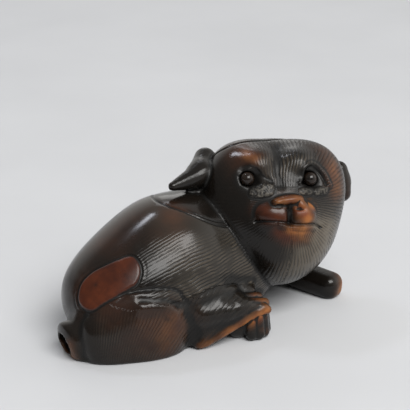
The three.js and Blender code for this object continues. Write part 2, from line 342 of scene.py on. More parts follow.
def smooth_line(points, closed=False, steps=8):
    """Points along a curve that runs through the given ones."""
    given = np.array(points, float)
    if closed:
        guides = np.vstack([given[-1:], given, given[:2]])
    else:
        guides = np.vstack([2 * given[0] - given[1], given, 2 * given[-1] - given[-2]])
    share = np.arange(steps)[:, None] / steps
    runs = []
    for a, b, c, d in zip(guides, guides[1:], guides[2:], guides[3:]):
        runs.append(0.5 * (2 * b + (c - a) * share + (2 * a - 5 * b + 4 * c - d) * share ** 2
                           + (3 * b - a - 3 * c + d) * share ** 3))
    return np.vstack(runs + [guides[-2:-1]])


def distance_to(line, places):
    """How far each place lies from a line, on a plane or in space."""
    nearest = np.full(len(places), np.inf)
    for start, end in zip(line, line[1:]):
        step = end - start
        along = np.clip((places - start) @ step / max(step @ step, 1e-12), 0, 1)
        offset = places - start - along[:, None] * step
        nearest = np.minimum(nearest, np.linalg.norm(offset, axis=1))
    return nearest


def within(outline, places):
    """True for the places inside a closed outline on the same plane."""
    inside = np.zeros(len(places), bool)
    for (x0, y0), (x1, y1) in zip(outline, outline[1:]):
        if y0 == y1:
            continue
        crosses = (y0 > places[:, 1]) != (y1 > places[:, 1])
        reach = x0 + (places[:, 1] - y0) * (x1 - x0) / (y1 - y0)
        inside ^= crosses & (places[:, 0] < reach)
    return inside


def mark(distance, width):
    """One on a line, falling to nothing over its width."""
    return np.exp(-(distance / width) ** 2)


def ramp(value, low, high):
    """Rises smoothly from nothing at low to one at high."""
    share = np.clip((value - low) / (high - low), 0, 1)
    return share * share * (3 - 2 * share)


# The near hind leg's creases and crests, along lines that lie on its skin.
HAUNCH_CREASE = [(-16.5, -7.8, 9.1), (-14.9, -8.5, 9.3), (-13.0, -9.1, 9.4), (-10.4, -9.7, 9.1),
                 (-9.2, -10.0, 8.5), (-8.6, -10.3, 7.6)]
CREASE_LIP = [(-15.5, -8.4, 9.0), (-14.4, -9.0, 8.8), (-13.3, -9.5, 8.6), (-12.1, -9.8, 8.4)]
CREASE_HOLLOW = [(-14.4, -9.3, 8.3), (-13.0, -9.8, 8.1), (-12.0, -10.0, 8.0), (-10.9, -10.2, 7.6),
                 (-9.6, -10.5, 6.9)]
HAUNCH_CREST = [(-14.4, -9.7, 7.5), (-13.2, -10.0, 7.5), (-12.2, -10.2, 7.3), (-11.0, -10.5, 6.8),
                (-10.2, -10.8, 5.9)]
KNEE_VALLEY = [(-9.4, -10.5, 7.2), (-8.6, -10.7, 6.2), (-7.9, -10.9, 4.9), (-7.3, -10.9, 3.0),
               (-7.4, -10.9, 0.6)]
FLANK_EDGE = [(-8.7, -10.3, 8.0), (-7.6, -10.5, 7.35), (-6.0, -10.6, 7.2), (-3.3, -10.3, 7.5),
              (-0.6, -9.5, 7.2)]
UNDER_FLANK = [(-8.2, -10.5, 7.0), (-6.0, -10.7, 6.5), (-3.3, -10.5, 6.8), (-0.6, -9.8, 6.6)]
FOOT_CREST = [(-6.5, -11.1, 4.7), (-4.2, -11.3, 4.7), (-2.1, -11.5, 4.9), (-0.3, -11.3, 5.4)]
SOLE_GROOVE = [(-6.0, -11.4, 1.4), (-4, -11.6, 2.7), (-1.8, -11.8, 3.7), (-0.1, -11.9, 4.4),
               (1.4, -12.0, 4.7)]
TAIL_CREASE = [(-20.6, -5.9, 6.4), (-21.1, -5.9, 5.4), (-21.5, -6.3, 4.2), (-21.6, -6.8, 2.8),
               (-21.4, -6.9, 0.8)]
# Line, width and height.
LEG_LINES = [(HAUNCH_CREASE, 0.28, -0.2), (HAUNCH_CREASE, 0.9, -0.16), (CREASE_LIP, 0.5, 0.1),
             (CREASE_HOLLOW, 0.5, -0.26), (HAUNCH_CREST, 0.95, 0.38), (KNEE_VALLEY, 1.3, -0.38),
             (FLANK_EDGE, 0.28, 0.12), (UNDER_FLANK, 0.9, -0.2), (FOOT_CREST, 1.2, 0.4),
             (SOLE_GROOVE, 0.35, -0.14), (TAIL_CREASE, 0.75, -0.32)]

# Places on the face are side and up.
MOUTH = [(-4.35, -1.3), (-2.75, -1.33), (-1.2, -1.4), (-0.1, -1.65), (1.75, -1.78), (3.5, -1.7),
         (4.5, -2.1)]
LOWER_LIP = [(-1.4, -1.75), (-0.1, -1.98), (1.6, -2.12), (3.4, -2.05)]
LIP_PARTING = [(0.0, 0.35), (-0.05, -0.4), (-0.1, -1.5)]
RIGHT_LID = [(-5.9, 5.3), (-5.5, 5.75), (-4.8, 5.95), (-4.0, 5.5), (-3.2, 4.6), (-2.1, 3.95)]
LEFT_LID = [(1.6, 3.7), (2.05, 4.5), (2.3, 5.7), (3.5, 6.35), (4.9, 5.3), (5.95, 3.5)]
BROW_FURROW = [(-0.5, 9.2), (-1.1, 7.5), (-1.3, 6.0), (-1.0, 3.6)]
FACE_LINES = [(MOUTH, 0.17, -0.34), (LOWER_LIP, 0.22, 0.16), (LIP_PARTING, 0.42, -0.85),
              (RIGHT_LID, 0.32, -0.18), (BROW_FURROW, 0.75, -0.22)]
NOSTRILS = [((-1.5, 0.72), 0.25), ((1.15, 0.35), 0.3)]  # place and depth
NOSTRIL_SIZE = 0.22
NOSTRIL_STRETCH = 2.2  # how much wider than high
# One tuft under the right eye and two under the left.
TUFTS = [[(-4.6, 3.3), (-2.1, 3.55), (-2.2, 2.1), (-4.8, 1.95)],
         [(1.4, 2.9), (3.2, 3.15), (3.3, 2.35), (1.7, 2.15)],
         [(3.65, 3.0), (5.5, 3.25), (5.3, 2.35), (3.7, 2.15)]]
# The right and left lip and the nose, which have no hair.
BARE_LUMPS = [[(-4.2, 0.9), (-2.3, 1.1), (-0.7, 0.0), (-0.8, -1.3), (-4.2, -1.1)],
              [(0.5, 0.3), (1.0, -1.6), (3.2, -1.2), (3.4, 1.1), (2.0, 1.2)],
              [(-2.4, 1.5), (-1.4, 2.3), (0.3, 2.5), (1.6, 2.1), (2.3, 1.3), (0, 0.3)]]

# The line across the crown, forward and side on the head.
CROWN_LINE = [(0.6, -9.4), (1.6, -8.3), (2.6, -7.2), (2.95, -5.4), (2.5, -2.5), (0.6, 1.5),
              (-3.0, 3.5)]

# The rump's smooth patch, along and across a plane that lies on it.
PATCH_CENTRE = np.array([-17.0, -5.8, 10.2])
PATCH_ALONG = np.array([0.784, -0.261, 0.563])
PATCH_OUT = np.array([-0.604, -0.531, 0.595])
PATCH_OUTLINE = [(-4.8, 0.8), (-3.4, 2.1), (-1.4, 2.4), (0.5, 2.1), (2.2, 1.75), (3.8, 1.25),
                 (4.2, 0.0), (3.75, -1.35), (2.6, -2.3), (1.3, -2.35), (-0.3, -2.3), (-2.1, -2.15),
                 (-3.9, -1.95), (-4.8, -0.7)]

# The nape's smooth patch, seen from above.
NAPE_OUTLINE = [(-7.3, -0.8), (-6.7, -2.6), (-5.7, -3.9), (-4.3, -5.2), (-2.8, -5.9), (-1.2, -6.1),
                (0.8, -5.6), (2.5, -3.0), (2.5, 2.0), (0.5, 5.2), (-2.5, 5.6), (-5.0, 4.2),
                (-6.9, 1.6)]


def signed_outline(outline, places):
    """Distance from a closed outline, negative inside it."""
    line = smooth_line(outline, closed=True)
    return np.where(within(line, places), -1, 1) * distance_to(line, places)


def patch_distance(points):
    """Distance from the rump patch's edge along the surface, negative inside the patch."""
    offset = points - PATCH_CENTRE
    across = np.cross(PATCH_OUT, PATCH_ALONG)
    places = np.stack([offset @ PATCH_ALONG, offset @ across], axis=1)
    distance = np.full(len(points), FAR)
    near = (np.abs(places).max(axis=1) < 8) & (offset @ PATCH_OUT > -4)
    distance[near] = signed_outline(PATCH_OUTLINE, places[near])
    return distance


def nape_distance(points):
    distance = np.full(len(points), FAR)
    near = (points[:, 2] > 12.5) & (points[:, 0] < 6)
    distance[near] = signed_outline(NAPE_OUTLINE, points[near, :2])
    return distance


def crown_distance(local):
    distance = np.full(len(local), FAR)
    near = local[:, 2] > 5
    distance[near] = distance_to(smooth_line(CROWN_LINE), local[near, :2])
    return distance


def beside_leg(points):
    """The points low on the near side, where the hind leg's lines run."""
    return (points[:, 1] < -4) & (points[:, 2] < 11)


def leg_relief(points):
    relief = np.zeros(len(points))
    near = beside_leg(points)
    spots = points[near]
    lines = sum(height * mark(distance_to(smooth_line(line, steps=LEG_STEPS), spots), width)
                for line, width, height in LEG_LINES)
    relief[near] = lines * ramp(patch_distance(spots), -0.2, 0.5)
    return relief


def face_relief(local):
    """How far the face's lines and tufts stand out from its masses."""
    places = local[:, 1:]
    relief = sum(height * mark(distance_to(smooth_line(line), places), width)
                 for line, width, height in FACE_LINES)
    lid = distance_to(smooth_line(LEFT_LID), places)
    under_lid = within(smooth_line(LEFT_LID, closed=True), places)
    relief += 0.22 * mark(lid, 0.25) - 0.22 * mark(lid - 0.5, 0.22) * under_lid
    for (side, high), depth in NOSTRILS:
        reach = np.hypot((places[:, 0] - side) / NOSTRIL_STRETCH, places[:, 1] - high)
        relief -= depth * mark(reach, NOSTRIL_SIZE)
    for tuft in TUFTS:
        relief += 0.16 * ramp(-signed_outline(tuft, places), -0.25, 0.4)
    return relief * ramp(local[:, 0], 2.5, 4.5)


def masses_at(points):
    """Each point's distance from every mass, and the name of the mass it lies on."""
    near = {name: mass(points) for name, mass in MASSES.items()}
    return near, np.array(list(near))[np.array(list(near.values())).argmin(axis=0)]


def relief_of(points, near, part):
    """The fine relief over the whole carving, in millimetres along the normal."""
    relief = np.zeros(len(points))
    local = to_head(points)
    on_face = (local[:, 0] > 1.5) & (np.abs(near["head"]) < 0.6)
    relief[on_face] += face_relief(local[on_face])
    relief += leg_relief(points) * on_body(part)

    patch = patch_distance(points)
    raised = 0.12 * ramp(-patch, -0.05, 0.3)
    groove = 0.15 * mark(patch - 0.12, 0.15)
    outer_groove = 0.05 * mark(patch - 0.6, 0.12)
    relief += on_body(part) * (raised - groove - outer_groove)

    nape = nape_distance(points)
    groove = 0.14 * mark(nape, 0.14)
    inner_groove = 0.1 * mark(nape + 0.45, 0.12) * ramp(points[:, 0], -5.5, -4.0)
    relief -= (part == "torso") * (groove + inner_groove)

    crown_groove = 0.2 * mark(crown_distance(local), 0.17)
    neck_lip = 0.1 * mark(near["torso"] - near["head"] - 0.22, 0.16)
    relief += (part == "head") * (neck_lip - crown_groove)
    seam = np.sort(np.array([near[name] for name in ("head", "right_ear", "left_ear")]), axis=0)
    relief -= 0.1 * mark(seam[1] - seam[0], 0.25) * (seam[1] < 1)
    return relief


def on_body(part):
    return np.isin(part, ("torso", "hind_leg"))


# ---- engraved hair -----------------------------------------------------------------------------
# Strokes lie side by side at HAIR_PITCH, so each place has a distance across them and a depth.

# The body's axis, from rump to chest.
BODY_START, BODY_END = np.array([-16.0, -1.3, 4.6]), np.array([4.0, 1.4, 9.9])
# The place behind and below the heel that the leg's hair fans from, and the plane it fans on.
LEG_FAN = np.array([-21.5, -9.5, -11.0])
LEG_TURN = math.radians(-30)
LEG_RIGHT = np.array([math.cos(LEG_TURN), math.sin(LEG_TURN), 0])
LEG_UP = np.cross([-0.467, -0.809, 0.358], LEG_RIGHT)
# These turn an angle into a distance over the skin.
BODY_GIRTH = 9.0
LEG_GIRTH = 18.0
BROW_GIRTH = 12.5
CHEEK_GIRTH = 6.5
BACK_GIRTH = 9.0

# A streak of painted shade down the right cheek, side and up, where the face is kept dark and its
# hair strokes shallow.
SHADED_CHEEK = np.array([(-6.4, 0.4), (-5.0, -2.2), (-3.2, -3.4), (-2.4, -4.8)])
CHEEK_SHADE_WIDTH = 2.6


def body_strokes(points):
    """Distance round the body, whose hair runs from rump to chest."""
    axis = (BODY_END - BODY_START) / np.linalg.norm(BODY_END - BODY_START)
    offset = points - BODY_START
    along = offset @ axis
    spread = offset - along[:, None] * axis
    up = np.array([0, 0, 1]) - axis[2] * axis
    side = np.cross(axis, up)
    return np.arctan2(spread @ side, spread @ up) * BODY_GIRTH - 0.06 * along


def leg_strokes(points):
    offset = points - LEG_FAN
    return np.arctan2(offset @ LEG_UP, offset @ LEG_RIGHT) * LEG_GIRTH


def head_strokes(local):
    """The hair fans up the brow, out over the cheeks and round the back of the head."""
    forward, side, high = local.T
    brow = np.arctan2(side + 1.3, high + 7.0) * BROW_GIRTH
    cheek = np.arctan2(side - 0.3, high - 0.8) * CHEEK_GIRTH
    back = np.arctan2(side, -forward - 1.0) * BACK_GIRTH
    on_brow = (high > 3.2) & (side < 2.6 + 0.35 * (high - 3.2))
    return np.where(forward < 0.6, back, np.where(on_brow, brow, cheek))


def across_strokes(points, part):
    fanned = np.isin(part, ("hind_leg", "forepaw"))
    across = np.where(fanned, leg_strokes(points), body_strokes(points))
    return np.where(part == "head", head_strokes(to_head(points)), across)


def body_hair(points):
    """Hair on the torso: down the sides, with a little on the rump and none along the back."""
    forward, high = points[:, 0], points[:, 2]
    down = np.abs(body_strokes(points)) / BODY_GIRTH - 0.35 - 0.055 * np.clip(forward + 11.8, 0, 9)
    flank = ramp(down, -0.1, 0.3) * (0.12 + 0.88 * ramp(forward, -14.6, -12.2))
    rump = 0.5 * ramp(-forward, 17.5, 19.5) * ramp(high, 6.0, 8.0)
    hair = np.maximum(flank, rump) * (0.7 + 0.3 * ramp(forward, -11.0, -6.0))
    return hair * (1 - ramp(-nape_distance(points), -0.3, 0.0))


def leg_hair(points):
    """Hair on the near hind leg, faint on top of the haunch and on the shank."""
    forward, high = points[:, 0], points[:, 2]
    top = ramp(high, 5.2, 7.6) * ramp(-forward, 8.0, 10.0)
    shank = ramp(forward, -8.5, -6.5)
    return (0.65 - 0.6 * top) * (1 - 0.55 * shank) * ramp(forward, -20.8, -19.2)


def head_hair(local):
    """Hair on the head, none on lips, nose and tufts or beside the eyes, and less behind."""
    forward, side, high = local.T
    places = local[:, 1:]
    hair = 0.1 + 0.9 * ramp(forward, 0.8, 4.0) + 0.4 * ramp(-forward, 0.5, 2.5)
    for outline in BARE_LUMPS + TUFTS:
        bare = ramp(-signed_outline(outline, places), -0.35, 0.1)
        hair *= np.where(forward > 3, 1 - bare, 1)
    for eye in (RIGHT_EYE, LEFT_EYE):
        hair *= ramp(np.linalg.norm(local - eye, axis=1), 1.8, 2.4)
    right_side = side < -4.6 + 0.1 * (high - 4)
    hair *= np.where(right_side & (high > 1.5), 0.12, np.where(right_side, 0.55, 1))
    # Shallower strokes along the right cheek's streak of painted shade.
    return hair * (1 - 0.75 * mark(distance_to(SHADED_CHEEK, places), CHEEK_SHADE_WIDTH))


def stroke_depth(points, part):
    depth = np.ones(len(points))
    for name, hair in (("torso", body_hair), ("hind_leg", leg_hair)):
        depth[part == name] = hair(points[part == name])
    depth[part == "head"] = head_hair(to_head(points[part == "head"]))
    depth[np.isin(part, ("right_ear", "left_ear", "far_foreleg", "forepaw"))] = 0.15
    depth *= 1 - ramp(-patch_distance(points), -0.5, -0.2)
    return depth * ramp(points[:, 2], 0.1, 0.8)


# ---- where the colours lie ---------------------------------------------------------------------

# Where the dark stain has worn to brown: place, reach and amount. The body's are on both its sides.
BROWN_ON_BODY = [((-13.8, -0.3, 14.2), 4.0, 0.7), ((-10.6, -0.6, 16.0), 3.0, 0.55),
                 ((-7.0, -4.0, 16.5), 2.2, 0.9), ((-19.7, -2.8, 9.0), 3.5, 0.5),
                 ((-17.5, -8.3, 7.4), 2.4, 1.0), ((-11.0, -10.8, 3.9), 3.0, 1.0),
                 ((-14.0, -10.7, 3.9), 3.6, 0.8), ((-8.6, -6.4, 15.0), 3.0, 0.6)]
BROWN_ON_HEAD = [((14.5, -8.7, 19.5), 2.2, 0.8), ((15.5, -6.5, 21.4), 2.4, 1.0),
                 ((3.9, -4.3, 22.4), 2.3, 0.8), ((3.6, -1.8, 22.8), 2.5, 0.6),
                 ((18.3, -5.0, 15.0), 2.5, 0.4)]
SPECK = np.array([-18.5, -5.0, 9.6])  # a dark fleck in the rump's patch
SPECK_REACH = 0.28
# On the face, wood rubbed bare and wood left with a little red stain: line, width and amount.
ORANGE_SPOTS = [([(-1.5, 1.35), (1.7, 1.6)], 0.75, 0.6), ([(1.4, 0.4), (2.3, -0.9)], 0.95, 1.0),
                ([(2.6, 1.2), (3.1, 0.6)], 0.6, 1.0), ([(-0.2, -2.6), (2.6, -2.6)], 0.8, 0.75),
                ([(0.5, -3.4), (2.3, -3.3)], 0.8, 0.5), ([(-5.0, 7.6), (-4.1, 6.9)], 0.7, 0.4),
                ([(6.8, 5.6), (7.4, 2.4)], 1.1, 0.3)]
RED_SPOTS = [([(-3.6, 0.3), (-2.6, -0.7), (-1.2, -0.6)], 0.95, 0.8),
             ([(-1.6, -2.6), (-0.6, -3.4)], 0.8, 0.7)]
# Bare edges of foot, toes, foreleg, cord hole and haunch: start, end, width and amount.
RUBBED_EDGES = [((-6.4, -10.6, 0.2), (-3.6, -11.6, 1.2), 0.9, 0.7),
                ((-3.6, -11.8, 1.6), (2.4, -12.3, 4.1), 0.75, 0.95),
                ((1.7, -10.6, 5.4), (3.0, -11.4, 4.9), 0.7, 0.6),
                ((1.6, -11.9, 1.6), (2.6, -11.6, 0.8), 0.4, 0.35),
                ((3.4, -9.2, 2.4), (3.2, -10.4, 0.8), 0.5, 0.3),
                ((18.6, -6.6, 0.8), (19.0, -5.2, 2.4), 1.0, 0.8),
                ((-22.3, -5.3, 2.6), (-22.1, -5.4, 0.6), 0.6, 0.4),
                ((-22.3, -4.9, 0.4), (-22.6, -2.0, 0.6), 0.8, 0.5),
                ((-12.0, -11.0, 2.8), (-10.7, -11.0, 4.0), 2.1, 0.17),
                ((-14.0, -11.0, 2.4), (-11.0, -11.0, 3.6), 1.8, 0.07)]
RED_WEAR = 0.12  # how much of a red spot is bare


def around(points, place, reach):
    """One at a place, falling to nothing over its reach."""
    return mark(np.linalg.norm(points - place, axis=1), reach)


def wear_shade_and_patch(points, part, hollow):
    """Wear to bare orange wood, darkening in the hollows with painted shade round the eyes and
    along the lip parting, and the smooth red patch.
    """
    local = to_head(points)
    places = local[:, 1:]
    front = (part == "head") & (local[:, 0] > 2)
    worn = np.zeros(len(points))
    patch = ramp(-patch_distance(points), -0.1, 0.15) * on_body(part)
    for line, width, amount in ORANGE_SPOTS:
        spot = amount * mark(distance_to(np.array(line), places), width) * front
        worn = np.maximum(worn, spot)
    for line, width, amount in RED_SPOTS:
        spot = amount * mark(distance_to(np.array(line), places), width) * front
        patch = np.maximum(patch, spot)
        worn = np.maximum(worn, RED_WEAR * spot)
    for start, end, width, amount in RUBBED_EDGES:
        edge = distance_to(np.array([start, end]), points)
        worn = np.maximum(worn, amount * mark(edge, width))

    hollow = hollow * (1 - 0.8 * front * mark(distance_to(smooth_line(LOWER_LIP), places), 0.7))
    hollow = np.maximum(hollow, 0.8 * around(points, SPECK, SPECK_REACH))
    # Painted shade: the face is darkened round each eye and along the lip parting.
    for eye in (RIGHT_EYE, LEFT_EYE):
        beside_eye = 1 - ramp(np.linalg.norm(local - eye, axis=1), 1.3, 2.5)
        hollow = np.maximum(hollow, front * beside_eye)
    parting = mark(distance_to(smooth_line(LIP_PARTING), places), 0.38)
    hollow = np.maximum(hollow, front * parting)
    return worn, hollow, patch


def paleness(points, part):
    """How far the stain has faded, from nothing to one; on the throat and far cheek this paleness,
    going above one, is a painted sheen for the bright table's reflection.
    """
    local = to_head(points)
    forward, side, high = local.T
    throat = ramp(-high, 3.0, 5.0) * ramp(side, -3.0, 0.0)
    far_cheek = ramp(side, 0.0, 4.5) * ramp(-high, -2.5, 2.5)
    brow = ramp(high, 3.5, 5.0) * ramp(-high, -8.0, -6.8) * ramp(-np.abs(side + 0.5), -5.0, -4.0)
    # On the throat and far cheek the paleness is a painted sheen, the bright table's reflection.
    face = np.maximum(np.maximum(1.2 * throat, 1.35 * far_cheek), 0.6 * brow)
    # Painted shade: the right cheek's streak stays dark, not faded.
    cheek_shade = mark(distance_to(SHADED_CHEEK, local[:, 1:]), CHEEK_SHADE_WIDTH)
    head = (0.1 + ramp(forward, -1.5, 6.5) * face) * (1 - cheek_shade)
    off_nape = 0.3 + 0.7 * ramp(nape_distance(points), -0.3, 0.3)
    torso = 0.1 + 0.7 * ramp(points[:, 0], -13.5, -8.5) * off_nape
    kinds = [part == "head", part == "torso", part == "hind_leg"]
    return np.select(kinds, [head, torso, 0.35], 0.15)


def brownness(points):
    brown = np.zeros(len(points))
    for place, reach, amount in BROWN_ON_BODY:
        for spots in (points, points * [1, -1, 1]):
            brown = np.maximum(brown, amount * around(spots, place, reach))
    for place, reach, amount in BROWN_ON_HEAD:
        brown = np.maximum(brown, amount * around(points, place, reach))
    return brown


def tuft_values(points, part):
    """One on the rough tufts under the eyes."""
    local = to_head(points)
    tuft = np.zeros(len(points))
    for outline in TUFTS:
        inside = ramp(-signed_outline(outline, local[:, 1:]), -0.15, 0.15)
        tuft = np.maximum(tuft, inside * ((part == "head") & (local[:, 0] > 3)))
    return tuft


def hollow_values(points, normals, mean):
    """How deep each point lies between its neighbours: one in grooves, nothing on open ground."""
    middle = mean(points)
    spread = (mean(points ** 2) - 2 * points * middle + points ** 2).sum(axis=1)
    bowl = ((middle - points) * normals).sum(axis=1) / np.maximum(spread, 1e-4)
    for _ in range(3):
        bowl = 0.4 * bowl + 0.6 * mean(bowl[:, None])[:, 0]
    return np.clip(bowl / FULL_HOLLOW, -1, 1)


# ---- the carved surface ------------------------------------------------------------------------

def only(piece):
    bpy.ops.object.select_all(action="DESELECT")
    piece.select_set(True)
    bpy.context.view_layer.objects.active = piece


def vertices_of(piece):
    flat = np.empty(len(piece.data.vertices) * 3)
    piece.data.vertices.foreach_get("co", flat)
    return flat.reshape(-1, 3) / MM + MIDDLE


def put_vertices(piece, points):
    piece.data.vertices.foreach_set("co", ((points - MIDDLE) * MM).ravel())
    piece.data.update()


def neighbours_mean(piece):
    """A function that gives the mean of each vertex's neighbours."""
    count = len(piece.data.vertices)
    ends = np.empty(len(piece.data.edges) * 2, int)
    piece.data.edges.foreach_get("vertices", ends)
    ends = ends.reshape(-1, 2)
    both = np.vstack([ends, ends[:, ::-1]])
    number = np.maximum(np.bincount(both[:, 0], minlength=count), 1)

    def mean(values):
        totals = [np.bincount(both[:, 0], weights=column[both[:, 1]], minlength=count)
                  for column in values.T]
        return np.stack(totals, axis=1) / number[:, None]
    return mean


def draw_to_masses(points, rounds):
    """Moves points onto the carving's surface, a short step at a time."""
    for _ in range(rounds):
        slope = slope_of(carving, points)
        step = carving(points) / np.maximum((slope * slope).sum(axis=1), 0.2)
        points = points - np.clip(step, -LONGEST_STEP, LONGEST_STEP)[:, None] * slope
    return points


def rough_block():
    """A copy of the solid carving, remade with even points."""
    block = frame["nodes"]["puppy"].copy()
    block.data = block.data.copy()
    block.name = "carved_puppy"
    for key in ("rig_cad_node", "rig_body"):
        if key in block:
            del block[key]
    bpy.context.scene.collection.objects.link(block)
    block.parent = None
    only(block)
    bpy.ops.object.mode_set(mode="EDIT")
    bpy.ops.mesh.select_all(action="SELECT")
    bpy.ops.mesh.remove_doubles(threshold=WELD)
    bpy.ops.object.mode_set(mode="OBJECT")
    remesh = block.modifiers.new("even", "REMESH")
    remesh.mode = "VOXEL"
    remesh.voxel_size = BLOCK_SIZE
    bpy.ops.object.modifier_apply(modifier=remesh.name)
    return block


def fine_places(points):
    """The face, toes, hole rim and cut lines, which need closer points than the rest."""
    local = to_head(points)
    forward, side, high = local.T
    face = (forward > 4.2) & (np.abs(side + 0.3) < 7.2) & (high > -3.6) & (high < 7.2)
    x, y, z = points.T
    toes = (x > -0.5) & (x < 4.2) & (y < -7.5) & (z < 7.5)
    rim = np.linalg.norm(points - CORD_HOLE_CENTRE, axis=1) < RIM_RADIUS + RIM_THICKNESS + 0.2
    lines = np.abs(patch_distance(points)) < 0.6
    lines |= np.abs(nape_distance(points) + 0.2) < 0.6
    lines |= crown_distance(local) < 0.35
    near = beside_leg(points)
    crease = smooth_line(HAUNCH_CREASE, steps=LEG_STEPS)
    lines[near] |= distance_to(crease, points[near]) < 0.6
    return face | toes | rim | lines


def make_finer(piece):
    chosen = fine_places(vertices_of(piece))
    only(piece)
    bpy.ops.object.mode_set(mode="EDIT")
    bpy.ops.mesh.select_mode(type="VERT")
    bpy.ops.mesh.select_all(action="DESELECT")
    bpy.ops.object.mode_set(mode="OBJECT")
    piece.data.vertices.foreach_set("select", chosen)
    bpy.ops.object.mode_set(mode="EDIT")
    bpy.ops.mesh.select_mode(type="FACE")
    bpy.ops.mesh.subdivide(number_cuts=1)
    bpy.ops.mesh.select_all(action="SELECT")
    bpy.ops.mesh.quads_convert_to_tris()
    bpy.ops.object.mode_set(mode="OBJECT")


def add_values(piece, name, *columns):
    """Stores three numbers at each point for the material to read."""
    layer = piece.data.attributes.new(name, "FLOAT_VECTOR", "POINT")
    layer.data.foreach_set("vector", np.stack(columns, axis=1).ravel())


def make_carving():
    piece = rough_block()
    put_vertices(piece, draw_to_masses(vertices_of(piece), 3))
    make_finer(piece)
    points = vertices_of(piece)
    mean = neighbours_mean(piece)
    for _ in range(3):
        points = draw_to_masses(0.5 * points + 0.5 * mean(points), 2)
    normals = unit(slope_of(carving, points))
    near, part = masses_at(points)
    points = points + relief_of(points, near, part)[:, None] * normals
    points = 0.75 * points + 0.25 * mean(points)
    points[:, 2] = np.maximum(points[:, 2], 0)
    low, high = (np.array(corner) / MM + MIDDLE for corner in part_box("puppy"))
    put_vertices(piece, np.clip(points, low, high))

    pale = paleness(points, part)
    hollow = hollow_values(points, normals, mean)
    add_values(piece, "stroke", across_strokes(points, part), stroke_depth(points, part),
               tuft_values(points, part))
    # Wear, darkening in hollows with painted shade round the eyes and along the lip parting, and
    # the red patch.
    add_values(piece, "wear_and_shade", *wear_shade_and_patch(points, part, hollow))
    # Brownness, paleness, and the painted sheen where paleness passes one.
    add_values(piece, "tone_and_sheen", brownness(points), pale, np.clip(pale - 1, 0, 1))
    only(piece)
    bpy.ops.object.shade_smooth()
    return piece


# ---- materials ---------------------------------------------------------------------------------
# Each pair is the darker and the lighter colour of one kind of surface.

BLACK_STAIN = (0.0038, 0.0034, 0.0029), (0.0105, 0.0078, 0.006)
BROWN_STAIN = (0.016, 0.007, 0.005), (0.062, 0.022, 0.010)
RED_STAIN = (0.022, 0.0048, 0.0026), (0.088, 0.020, 0.0065)
BARE_WOOD = (0.15, 0.038, 0.012), (0.40, 0.15, 0.036)
TUFT_FLECKS = (0.008, 0.007, 0.006), (0.10, 0.09, 0.075)
HORN = (0.005, 0.004, 0.0035), (0.022, 0.012, 0.007)
TABLE_TOP = (0.53, 0.54, 0.56), (0.56, 0.57, 0.59)
# Faded stain, and on the throat and far cheek, together with the lighter colour below it, a painted
# sheen that stands for the bright table's reflection.
FADED_STAIN_AND_SHEEN = (0.06, 0.052, 0.042)
PAINTED_SHEEN = (0.2, 0.17, 0.13)
STROKE_CREST = (0.09, 0.072, 0.052)
# Darkening for hollows and hair grooves, and the painted shade round the eyes and along the lip
# parting.
GRIME_AND_SHADE = (0.004, 0.0036, 0.0032)


class Surface:
    """A material's nodes, added and joined one line at a time."""

    def __init__(self, name):
        self.material = bpy.data.materials.new(name)
        self.material.use_nodes = True
        self.nodes = self.material.node_tree.nodes
        self.links = self.material.node_tree.links
        self.shader = self.nodes["Principled BSDF"]
        self.place = self.nodes.new("ShaderNodeTexCoord").outputs["Object"]

    def feed(self, socket, value):
        if isinstance(value, bpy.types.NodeSocket):
            self.links.new(value, socket)
        else:
            socket.default_value = value

    def maths(self, operation, first, second=0.0, clamp=False):
        node = self.nodes.new("ShaderNodeMath")
        node.operation, node.use_clamp = operation, clamp
        self.feed(node.inputs[0], first)
        self.feed(node.inputs[1], second)
        return node.outputs[0]

    def times(self, first, *others):
        for other in others:
            first = self.maths("MULTIPLY", first, other)
        return first

    def plus(self, first, *others):
        for other in others:
            first = self.maths("ADD", first, other)
        return first

    def noise(self, scale, detail=3.0, roughness=0.5):
        node = self.nodes.new("ShaderNodeTexNoise")
        self.links.new(self.place, node.inputs["Vector"])
        for key, value in (("Scale", scale), ("Detail", detail), ("Roughness", roughness)):
            node.inputs[key].default_value = value
        return node.outputs[0]

    def shade(self, value, low, high, colours):
        """Goes from the first colour to the second as a value goes from low to high."""
        node = self.nodes.new("ShaderNodeValToRGB")
        self.links.new(value, node.inputs[0])
        for stop, position, colour in zip(node.color_ramp.elements, (low, high), colours):
            stop.position = position
            stop.color = (*colour, 1)
        return node.outputs[0]

    def fade(self, value, low, high, least):
        """Goes from the least share to all of it as a value goes from low to high."""
        return self.shade(value, low, high, ((least,) * 3, (1.0,) * 3))

    def mix(self, share, first, second):
        node = self.nodes.new("ShaderNodeMix")
        node.data_type = "RGBA"
        self.feed(node.inputs[0], share)
        for index, colour in ((6, first), (7, second)):
            self.feed(node.inputs[index], (*colour, 1) if isinstance(colour, tuple) else colour)
        return node.outputs[2]

    def values(self, attribute):
        """The three numbers that add_values stored under this name."""
        layer = self.nodes.new("ShaderNodeAttribute")
        layer.attribute_name = attribute
        split = self.nodes.new("ShaderNodeSeparateXYZ")
        self.links.new(layer.outputs["Vector"], split.inputs[0])
        return split.outputs

    def bump(self, height, strength, distance):
        node = self.nodes.new("ShaderNodeBump")
        node.inputs["Strength"].default_value = strength
        node.inputs["Distance"].default_value = distance
        self.links.new(height, node.inputs["Height"])
        return node.outputs[0]

    def set(self, **values):
        for key, value in values.items():
            self.feed(self.shader.inputs[key.replace("_", " ")], value)


